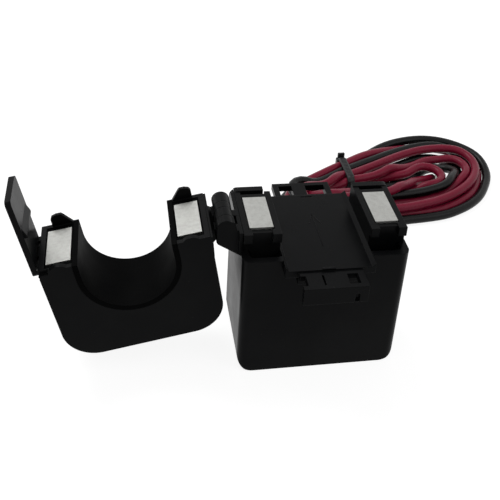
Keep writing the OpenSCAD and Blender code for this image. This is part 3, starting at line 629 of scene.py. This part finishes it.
def tube_piece(name, line, radius):
    """A round tube along a line, with a UV map: U once round it, V along it."""
    mesh = bmesh.new()
    layer = mesh.loops.layers.uv.new("UVMap")
    points = [Vector(p) for p in line]
    side = None
    rings = []
    for i, point in enumerate(points):
        ahead = (points[min(i + 1, len(points) - 1)] - points[max(i - 1, 0)]).normalized()
        side = ahead.orthogonal().normalized() if side is None else side - ahead * side.dot(ahead)
        side.normalize()
        up = ahead.cross(side)
        rings.append([mesh.verts.new(
            point + radius * (math.cos(math.tau * k / TUBE_SIDES) * side
                              + math.sin(math.tau * k / TUBE_SIDES) * up))
            for k in range(TUBE_SIDES)])
    run = 0.0
    for i in range(len(rings) - 1):
        next_run = run + (points[i + 1] - points[i]).length
        for k in range(TUBE_SIDES):
            after = (k + 1) % TUBE_SIDES
            face = mesh.faces.new((rings[i][k], rings[i][after],
                                   rings[i + 1][after], rings[i + 1][k]))
            face.smooth = True
            corners = ((k, run), (k + 1, run), (k + 1, next_run), (k, next_run))
            for loop, (turn, along) in zip(face.loops, corners):
                loop[layer].uv = (turn / TUBE_SIDES, along * JACKET_REPEAT)
        run = next_run
    mesh.faces.new(list(reversed(rings[0])))
    mesh.faces.new(rings[-1])
    bmesh.ops.recalc_face_normals(mesh, faces=mesh.faces)
    return finished_piece(name, mesh)


def add_object(name, data):
    """A new object in the scene's own collection."""
    piece = bpy.data.objects.new(name, data)
    bpy.context.scene.collection.objects.link(piece)
    return piece


def finished_piece(name, mesh):
    """An object at the origin from a bmesh, which is freed."""
    data = bpy.data.meshes.new(name)
    mesh.to_mesh(data)
    mesh.free()
    return add_object(name, data)


def strands_tree():
    """Geometry nodes: thin strands twisted round an axis, along Z."""
    tree, start, end = new_group(
        "twisted strands",
        (("Length", "NodeSocketFloat", 0.005), ("Bundle radius", "NodeSocketFloat", 0.0008),
         ("Strand radius", "NodeSocketFloat", 0.0003), ("Strands", "NodeSocketInt", 7),
         ("Turns", "NodeSocketFloat", 0.6), ("Material", "NodeSocketMaterial", None)),
        GEOMETRY_OUTPUTS, "GeometryNodeTree")
    given = start.outputs
    spiral = add_node(tree, "GeometryNodeCurveSpiral", Resolution=24, Rotations=given["Turns"],
                      Start_Radius=given["Bundle radius"], End_Radius=given["Bundle radius"],
                      Height=given["Length"])
    ring = add_node(tree, "GeometryNodeMeshCircle", Radius=0.00001, Vertices=given["Strands"])
    index = add_node(tree, "GeometryNodeInputIndex")
    part = add_math(tree, "DIVIDE", index.outputs[0], given["Strands"])
    spin = add_node(tree, "ShaderNodeCombineXYZ", Z=add_math(tree, "MULTIPLY", part, math.tau))
    spread = add_node(tree, "GeometryNodeInstanceOnPoints", Points=ring.outputs["Mesh"],
                      Instance=spiral.outputs["Curve"], Rotation=spin.outputs[0])
    real = add_node(tree, "GeometryNodeRealizeInstances", Geometry=spread.outputs["Instances"])
    profile = add_node(tree, "GeometryNodeCurvePrimitiveCircle", Resolution=10,
                       Radius=given["Strand radius"])
    sweep = add_node(tree, "GeometryNodeCurveToMesh", Curve=real.outputs["Geometry"],
                     Profile_Curve=profile.outputs["Curve"], Fill_Caps=True)
    paint = add_node(tree, "GeometryNodeSetMaterial", Geometry=sweep.outputs["Mesh"],
                     Material=given["Material"])
    tree.links.new(paint.outputs["Geometry"], end.inputs["Geometry"])


def grown(name, tree, base, **values):
    """The plain mesh that a geometry node tree makes on a base object, which is removed."""
    modifier = base.modifiers.new("grow", "NODES")
    modifier.node_group = tree
    names = {item.name: item.identifier for item in tree.interface.items_tree
             if item.in_out == "INPUT"}
    for label, value in values.items():
        modifier[names[label.replace("_", " ")]] = value
    evaluated = base.evaluated_get(bpy.context.evaluated_depsgraph_get())
    data = bpy.data.meshes.new_from_object(evaluated)
    bpy.data.objects.remove(base)
    data.name = name
    return add_object(name, data)


def lead_tip(name, line, settings):
    """The bare tinned end that goes on from a lead's last points."""
    base = add_object(name + "_base", bpy.data.meshes.new(name + "_base"))
    piece = grown(name, bpy.data.node_groups["twisted strands"], base, Length=settings.tip,
                  Bundle_radius=BUNDLE_RADIUS * MM, Strand_radius=STRAND_RADIUS * MM,
                  Strands=STRANDS, Turns=STRAND_TURNS, Material=FINISHES["tinned_wire"])
    end, before = Vector(line[-1]), Vector(line[-3])
    ahead = (end - before).normalized()
    turn = ahead.to_track_quat("Z", "Y").to_matrix().to_4x4()
    piece.data.transform(Matrix.Translation(end - ahead * TIP_TUCK * MM) @ turn)
    for polygon in piece.data.polygons:
        polygon.use_smooth = True
    return piece


class TRANSFORMER_OT_leads(bpy.types.Operator):
    """Lay both leads from the case into the tied hank"""

    bl_idname = "transformer.leads"
    bl_label = "Leads"

    def execute(self, context):
        settings = context.scene.lead_settings
        diameter = settings.diameter / MM
        step = diameter * STEP_SHARE
        lines, fixed = [], []
        first = 0
        for route, turns in ((RED_ROUTE, RED_TURNS), (BLACK_ROUTE, BLACK_TURNS)):
            points = [*route, *(point for turn in turns for point in turn)]
            line = smooth_line(points, step)
            out = np.array(route[:FREE_FROM], float)
            way = np.linalg.norm(np.diff(out, axis=0), axis=1).sum()
            fixed.append((first, first + int(way / step)))
            for point in points:
                if point[0] == TIE_X:
                    near = int(np.argmin(np.linalg.norm(line - np.array(point), axis=1)))
                    line[near] = point
                    fixed.append((first + near, first + near + 1))
            first += len(line)
            lines.append(line)
        red, black = settle(lines, fixed, step, diameter, settings.tightest / MM)
        for name, line, nodes, slot in (
                ("red_cord", red, ("red_lead", "lead_hank"), "red_pvc"),
                ("black_cord", black, ("black_lead", "lead_hank"), "black_pvc")):
            even = smooth_line(line[::2], step * FINAL_STEP_SHARE) * MM
            piece = tube_piece(name, even, settings.diameter / 2)
            piece.data.materials.append(FINISHES[slot])
            tip = lead_tip(name.replace("cord", "tip"), even, settings)
            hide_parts(*nodes)
            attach(piece, "case")
            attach(tip, "case")
        return {"FINISHED"}


# ---- cable tie ----


def toothed_strap_tree():
    """Geometry nodes: a flat strap swept along a curve, with teeth at an even pitch."""
    tree, start, end = new_group(
        "toothed strap",
        (("Geometry", "NodeSocketGeometry", None), ("Width", "NodeSocketFloat", 0.0026),
         ("Thickness", "NodeSocketFloat", 0.0009), ("Tooth pitch", "NodeSocketFloat", 0.001),
         ("Tooth height", "NodeSocketFloat", 0.0003), ("Material", "NodeSocketMaterial", None)),
        GEOMETRY_OUTPUTS, "GeometryNodeTree")
    given = start.outputs
    profile = add_node(tree, "GeometryNodeCurvePrimitiveQuadrilateral", Width=given["Width"],
                       Height=given["Thickness"])
    sweep = add_node(tree, "GeometryNodeCurveToMesh", Curve=given["Geometry"],
                     Profile_Curve=profile.outputs["Curve"])
    points = add_node(tree, "GeometryNodeCurveToPoints", Curve=given["Geometry"])
    points.mode = "LENGTH"
    feed(tree, points.inputs["Length"], given["Tooth pitch"])
    size = add_node(tree, "ShaderNodeCombineXYZ",
                    X=add_math(tree, "MULTIPLY", given["Width"], TOOTH_WIDTH),
                    Y=add_math(tree, "ADD", given["Thickness"], given["Tooth height"]),
                    Z=add_math(tree, "MULTIPLY", given["Tooth pitch"], TOOTH_LENGTH))
    tooth = add_node(tree, "GeometryNodeMeshCube", Size=size.outputs[0])
    spread = add_node(tree, "GeometryNodeInstanceOnPoints", Points=points.outputs["Points"],
                      Instance=tooth.outputs["Mesh"], Rotation=points.outputs["Rotation"])
    both = tree.nodes.new("GeometryNodeJoinGeometry")
    for part in (sweep.outputs["Mesh"], spread.outputs["Instances"]):
        tree.links.new(part, both.inputs["Geometry"])
    real = add_node(tree, "GeometryNodeRealizeInstances", Geometry=both.outputs["Geometry"])
    paint = add_node(tree, "GeometryNodeSetMaterial", Geometry=real.outputs["Geometry"],
                     Material=given["Material"])
    tree.links.new(paint.outputs["Geometry"], end.inputs["Geometry"])
    return tree


def rounded_loop(low, high, x, radius, steps=6):
    """A closed loop at x with round corners of so many steps, between low and high in Y and Z."""
    points = []
    for cy, cz, angle in ((high[0] - radius, high[1] - radius, 0),
                          (low[0] + radius, high[1] - radius, 90),
                          (low[0] + radius, low[1] + radius, 180),
                          (high[0] - radius, low[1] + radius, 270)):
        for k in range(steps + 1):
            turn = math.radians(angle + 90 * k / steps)
            points.append((x, cy + radius * math.cos(turn), cz + radius * math.sin(turn)))
    return points


def strap_curve(name, points):
    """A closed poly curve along the strap's middle."""
    curve = bpy.data.curves.new(name, "CURVE")
    curve.dimensions = "3D"
    spline = curve.splines.new("POLY")
    spline.points.add(len(points) - 1)
    for point, place in zip(spline.points, points):
        point.co = (*place, 1.0)
    spline.use_cyclic_u = True
    return add_object(name, curve)


def bevelled_block(mesh, low, high, radius):
    """A block with round edges, added to a bmesh."""
    made = bmesh.ops.create_cube(mesh, size=1.0)["verts"]
    low, high = Vector(low), Vector(high)
    for vert in made:
        vert.co = Vector([low[k] + (vert.co[k] + 0.5) * (high[k] - low[k]) for k in range(3)])
    edges = list({edge for vert in made for edge in vert.link_edges})
    bmesh.ops.bevel(mesh, geom=edges, offset=radius, segments=3, affect="EDGES", profile=0.5)


class TRANSFORMER_OT_tie(bpy.types.Operator):
    """Build the cable tie round the hank: toothed strap, lock head and cut end"""

    bl_idname = "transformer.tie"
    bl_label = "Cable tie"

    def execute(self, context):
        settings = context.scene.tie_settings
        low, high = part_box("cable_tie")
        width, over = settings.width, settings.over
        middle = (low.x + high.x) / 2
        inset = settings.strap / 2 + TOOTH_ROOM * MM
        loop = rounded_loop((low.y + inset, low.z + inset), (high.y - inset, over - inset),
                            middle, STRAP_CORNER * MM)
        base = strap_curve("strap_line", loop)
        piece = grown("tie_strap", toothed_strap_tree(), base, Width=width,
                      Thickness=settings.strap, Tooth_pitch=settings.tooth,
                      Tooth_height=TOOTH_HEIGHT * MM, Material=FINISHES["tie_nylon"])
        mesh = bmesh.new()
        mesh.from_mesh(piece.data)
        # the lock head is at the back of the hank, with the cut end above it
        top = over - HEAD_DROP * MM
        bevelled_block(mesh, (low.x, high.y + HEAD_Y[0] * MM, top - settings.head),
                       (high.x, high.y + HEAD_Y[1] * MM, top), HEAD_EDGE * MM)
        bevelled_block(mesh, (middle - width / 2, high.y + END_Y[0] * MM, top - END_ROOT * MM),
                       (middle + width / 2, high.y + END_Y[1] * MM, over + END_RISE * MM),
                       END_EDGE * MM)
        for face in mesh.faces:
            face.material_index = 0
        mesh.to_mesh(piece.data)
        mesh.free()
        piece.data.materials.clear()
        piece.data.materials.append(FINISHES["tie_nylon"])
        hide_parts("cable_tie")
        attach(piece, "case")
        return {"FINISHED"}


# ---- mouldings and cores ----


class TRANSFORMER_OT_mouldings(bpy.types.Operator):
    """Finish the moulded case, carrier, cover, saddle and latch"""

    bl_idname = "transformer.mouldings"
    bl_label = "Mouldings"

    def execute(self, context):
        settings = context.scene.moulding_settings
        wave = 1.0 / settings.grain
        moulded_plastic("black_plastic", settings.colour, 0.3, 0.05, wave, settings.edge)
        for node in MOULDED_NODES:
            assign(node, "black_plastic")
        # painted shade: the saddle's channel sides get a darker, less glossy copy of the black
        # plastic, standing in for the shade inside the channel
        moulded_plastic("saddle_painted_shade", (0.0016, 0.0017, 0.0018), 0.5, 0.02, wave,
                        settings.edge, level=0.01)
        assign("cover_saddle", "saddle_painted_shade")
        return {"FINISHED"}


class TRANSFORMER_OT_cores(bpy.types.Operator):
    """Finish both cores, the resin and the pins"""

    bl_idname = "transformer.cores"
    bl_label = "Cores and resin"

    def execute(self, context):
        ground_steel(context.scene.core_settings)
        cast_resin()
        moulded_plastic("pin_steel", (0.03, 0.03, 0.03), 0.34, 0.2, 1500.0, level=0.5)
        for node, name in (("lower_core", "core_steel"), ("upper_core", "core_steel"),
                           ("potting", "resin"), ("hinge_pin", "pin_steel"),
                           ("latch_pin", "pin_steel")):
            assign(node, name)
        return {"FINISHED"}


class TRANSFORMER_OT_inside(bpy.types.Operator):
    """Finish the sealed pieces: bobbin, winding, tape, splices and foam pad"""

    bl_idname = "transformer.inside"
    bl_label = "Inside"

    def execute(self, context):
        for name, colour in HIDDEN_COLOURS.items():
            moulded_plastic(name, colour, 0.45, 0.1, 1200.0, level=0.4)
        for node, name in HIDDEN_NODES.items():
            assign(node, name)
        return {"FINISHED"}


class TRANSFORMER_OT_arrow(bpy.types.Operator):
    """Raise the plain direction arrow on the window floor"""

    bl_idname = "transformer.arrow"
    bl_label = "Direction arrow"

    def execute(self, context):
        _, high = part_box("core_carrier")
        floor = high.z - WINDOW_DEPTH * MM
        mesh = bmesh.new()
        for outline in (ARROW_SHAFT, ARROW_BARB, [(-x, y) for x, y in ARROW_BARB]):
            face = mesh.faces.new([mesh.verts.new((x * MM, y * MM, floor - ARROW_SUNK * MM))
                                   for x, y in outline])
            top = bmesh.ops.extrude_face_region(mesh, geom=[face])
            for item in top["geom"]:
                if isinstance(item, bmesh.types.BMVert):
                    item.co.z = floor + ARROW_RISE * MM
        bmesh.ops.recalc_face_normals(mesh, faces=mesh.faces)
        piece = finished_piece("direction_arrow", mesh)
        piece.data.materials.append(FINISHES["black_plastic"])
        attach(piece, "case")
        return {"FINISHED"}


class TRANSFORMER_OT_finishes(bpy.types.Operator):
    """Make the shader groups, the strand tree and the leads' and tie's materials"""

    bl_idname = "transformer.finishes"
    bl_label = "Finishes"

    def execute(self, context):
        build_handling_group()
        build_grinding_group()
        build_jacket_group()
        strands_tree()
        settings = context.scene.lead_settings
        lead_jacket("red_pvc", settings.red, (0.40, 0.10, 0.16), 0.06)
        lead_jacket("black_pvc", settings.black, (0.05, 0.05, 0.05), 0.06)
        tinned_wire()
        moulded_plastic("tie_nylon", (0.008, 0.008, 0.009), 0.36, 0.06, 1400.0, level=0.3)
        return {"FINISHED"}


# ---- stage ----


def camera_frame(settings):
    """The camera's place and turn from its azimuth, elevation, roll and distance."""
    az, el, roll = settings.azimuth, settings.elevation, settings.roll
    back = Vector((math.sin(az) * math.cos(el), -math.cos(az) * math.cos(el), math.sin(el)))
    right = Vector((math.cos(az), math.sin(az), 0.0))
    up = back.cross(right)
    across = right * math.cos(roll) + up * math.sin(roll)
    rise = up * math.cos(roll) - right * math.sin(roll)
    turn = Matrix((across, rise, back)).transposed().to_4x4()
    return Matrix.Translation(Vector(settings.aim) + back * settings.distance) @ turn


def seen_rays(tree):
    """One on rays from the camera, in reflections and through glass, and nought on others."""
    path = tree.nodes.new("ShaderNodeLightPath")
    return add_math(tree, "MAXIMUM", path.outputs["Is Camera Ray"],
                    add_math(tree, "MAXIMUM", path.outputs["Is Glossy Ray"],
                             path.outputs["Is Transmission Ray"]))


def build_floor():
    """A wide white floor that shows as the backdrop's white and keeps the shadow."""
    mesh = bmesh.new()
    bmesh.ops.create_circle(mesh, cap_ends=True, radius=3.0, segments=64)
    floor = finished_piece("floor", mesh)
    material = bpy.data.materials.new("floor_white")
    material.use_nodes = True
    tree = material.node_tree
    tree.nodes.remove(tree.nodes["Principled BSDF"])
    diffuse = add_node(tree, "ShaderNodeBsdfDiffuse", Color=(FLOOR_GREY,) * 3)
    glow = add_node(tree, "ShaderNodeEmission", Color=(1, 1, 1),
                    Strength=add_math(tree, "MULTIPLY", seen_rays(tree), FLOOR_GLOW))
    both = tree.nodes.new("ShaderNodeAddShader")
    tree.links.new(diffuse.outputs[0], both.inputs[0])
    tree.links.new(glow.outputs[0], both.inputs[1])
    tree.links.new(both.outputs[0], tree.nodes["Material Output"].inputs["Surface"])
    floor.data.materials.append(material)


def build_world(strength):
    """Even light from all round, seen as white."""
    world = bpy.data.worlds.new("soft_room")
    world.use_nodes = True
    bpy.context.scene.world = world
    tree = world.node_tree
    light = tree.nodes["Background"]
    light.inputs["Color"].default_value = (1, 1, 1, 1)
    share = add_range(tree, seen_rays(tree), 0.0, 1.0, strength, 1.0)
    tree.links.new(share, light.inputs["Strength"])


def add_softbox(name, place, aim, size, power):
    """A square lamp aimed at a point."""
    data = bpy.data.lights.new(name, "AREA")
    data.shape = "SQUARE"
    data.size = size
    data.energy = power
    lamp = add_object(name, data)
    place, aim = Vector(place), Vector(aim)
    turn = (place - aim).to_track_quat("Z", "Y").to_matrix().to_4x4()
    lamp.matrix_world = Matrix.Translation(place) @ turn


class TRANSFORMER_OT_stage(bpy.types.Operator):
    """Set the camera, the floor and the soft light"""

    bl_idname = "transformer.stage"
    bl_label = "Stage"

    def execute(self, context):
        settings = context.scene.stage_settings
        data = bpy.data.cameras.new("camera")
        data.sensor_width = 36.0
        data.lens = settings.lens
        data.shift_x, data.shift_y = settings.shift
        data.clip_start, data.clip_end = 0.01, 20.0
        camera = add_object("camera", data)
        camera.matrix_world = camera_frame(settings)
        context.scene.camera = camera
        build_floor()
        build_world(settings.sky)
        for name, place, size, power in SOFTBOXES:
            add_softbox(name, place, SOFTBOX_AIM, size, power)
        context.scene.view_settings.view_transform = "Standard"
        return {"FINISHED"}


# ---- add-on ----


class TRANSFORMER_PT_panel(bpy.types.Panel):
    """Every setting and operator, in the sidebar"""

    bl_idname = "TRANSFORMER_PT_panel"
    bl_label = "Current transformer"
    bl_space_type = "VIEW_3D"
    bl_region_type = "UI"
    bl_category = "Transformer"

    def draw(self, context):
        for name in SETTINGS:
            box = self.layout.box()
            group = getattr(context.scene, name)
            for key in group.__annotations__:
                box.prop(group, key)
        for operator in OPERATORS:
            self.layout.operator(operator.bl_idname)


SETTINGS = {
    "lead_settings": LeadSettings,
    "moulding_settings": MouldingSettings,
    "core_settings": CoreSettings,
    "tie_settings": TieSettings,
    "stage_settings": StageSettings,
}
OPERATORS = (
    TRANSFORMER_OT_stage, TRANSFORMER_OT_finishes, TRANSFORMER_OT_leads, TRANSFORMER_OT_tie,
    TRANSFORMER_OT_mouldings, TRANSFORMER_OT_cores, TRANSFORMER_OT_inside, TRANSFORMER_OT_arrow,
)
CLASSES = (*SETTINGS.values(), *OPERATORS, TRANSFORMER_PT_panel)


def register():
    for item in CLASSES:
        bpy.utils.register_class(item)
    for name, group in SETTINGS.items():
        setattr(bpy.types.Scene, name, bpy.props.PointerProperty(type=group))


def unregister():
    for name in SETTINGS:
        delattr(bpy.types.Scene, name)
    for item in reversed(CLASSES):
        bpy.utils.unregister_class(item)


def main():
    """Builds everything in order."""
    register()
    for operator in OPERATORS:
        group, name = operator.bl_idname.split(".")
        getattr(getattr(bpy.ops, group), name)()


if __name__ == "__main__":
    main()
